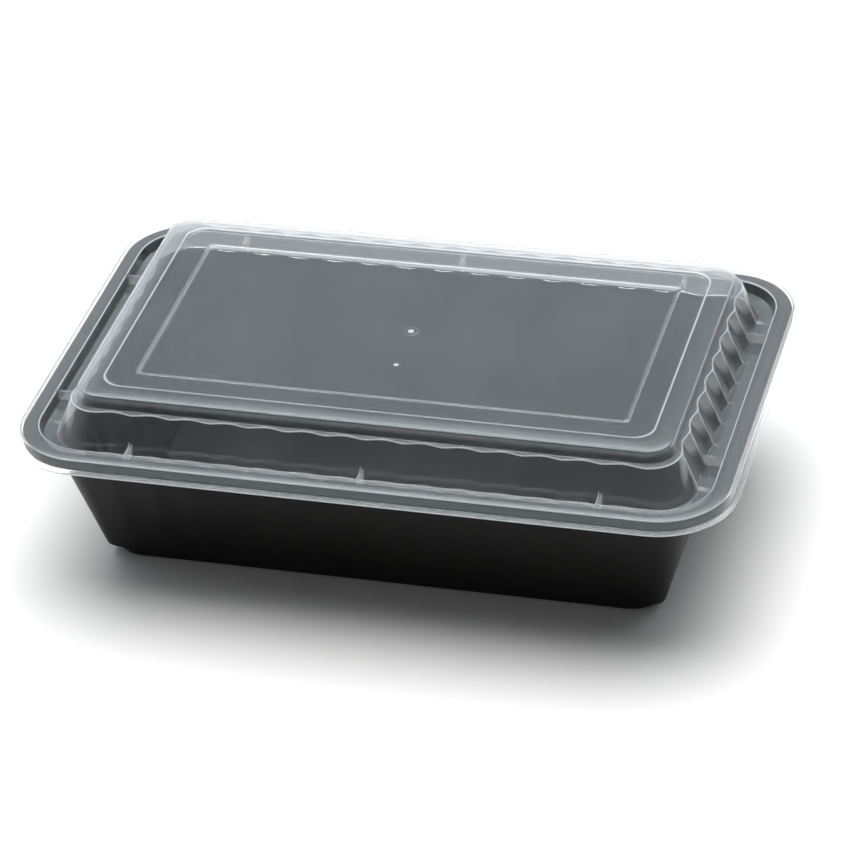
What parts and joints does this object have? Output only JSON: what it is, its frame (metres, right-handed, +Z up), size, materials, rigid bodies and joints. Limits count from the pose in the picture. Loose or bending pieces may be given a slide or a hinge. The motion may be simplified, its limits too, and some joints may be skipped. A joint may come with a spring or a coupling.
{
  "type": "takeaway meal container",
  "caption": "Rectangular black plastic food tray with tapered fluted walls, closed by a clear domed push-fit lid with fluted sides, a rim channel and cross fins.",
  "frame": {"origin": "middle of the underside of the tray, on the surface it stands on", "axes": "+X along the length, +Y across the width towards the back, +Z up"},
  "size_m": [0.224, 0.148, 0.062],
  "materials": {
    "black_plastic": "semi-matte moulded black polypropylene",
    "clear_plastic": "clear, slightly milky moulded polypropylene"
  },
  "bodies": {
    "root": {"tray": "black_plastic", "lid": "clear_plastic"}
  },
  "joints": []
}
